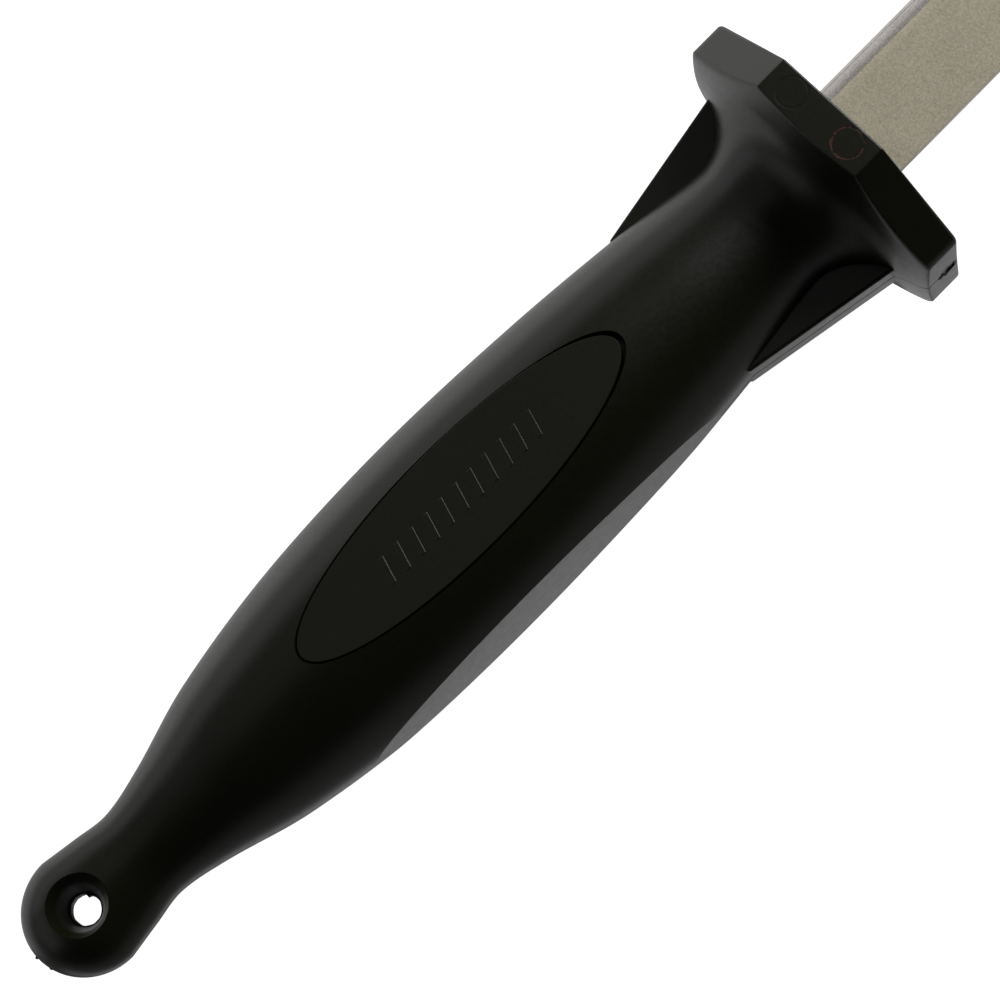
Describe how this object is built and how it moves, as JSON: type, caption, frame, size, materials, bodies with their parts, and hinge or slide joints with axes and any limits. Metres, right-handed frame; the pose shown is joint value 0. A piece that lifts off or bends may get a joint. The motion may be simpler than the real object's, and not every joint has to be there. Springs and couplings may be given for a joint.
{
  "type": "knife sharpening steel",
  "caption": "Hand-held knife steel: teardrop-section bar with abrasive faces on a black moulded handle, with an octagonal guard, side webs, inlaid oval plates and a hanging hole.",
  "frame": {"origin": "middle of the whole tool's box, on the bar's axis", "axes": "+X along the tool from butt to tip, +Y towards the bar's rounded spine, +Z out of the upper oval plate"},
  "size_m": [0.3948, 0.0406, 0.0388],
  "materials": {
    "handle_plastic": "semi-matte moulded black",
    "plate_plastic": "fine matte moulded black",
    "cap_plastic": "semi-matte moulded black",
    "bar_steel": "satin ground",
    "coarse_grit": "fine grit plated, warm grey",
    "medium_grit": "finer grit plated, warm grey",
    "fine_grit": "very fine grit plated, light grey",
    "dowel_steel": "ground"
  },
  "bodies": {
    "root": {"handle_half_top": "handle_plastic", "handle_half_bottom": "handle_plastic", "oval_plate_top": "plate_plastic", "oval_plate_bottom": "plate_plastic", "tang_dowel_front": "dowel_steel", "tang_dowel_rear": "dowel_steel", "sharpening_bar": "bar_steel", "abrasive_coarse_face": "coarse_grit", "abrasive_medium_face": "medium_grit", "abrasive_fine_spine": "fine_grit", "tip_cap": "cap_plastic"}
  },
  "joints": []
}
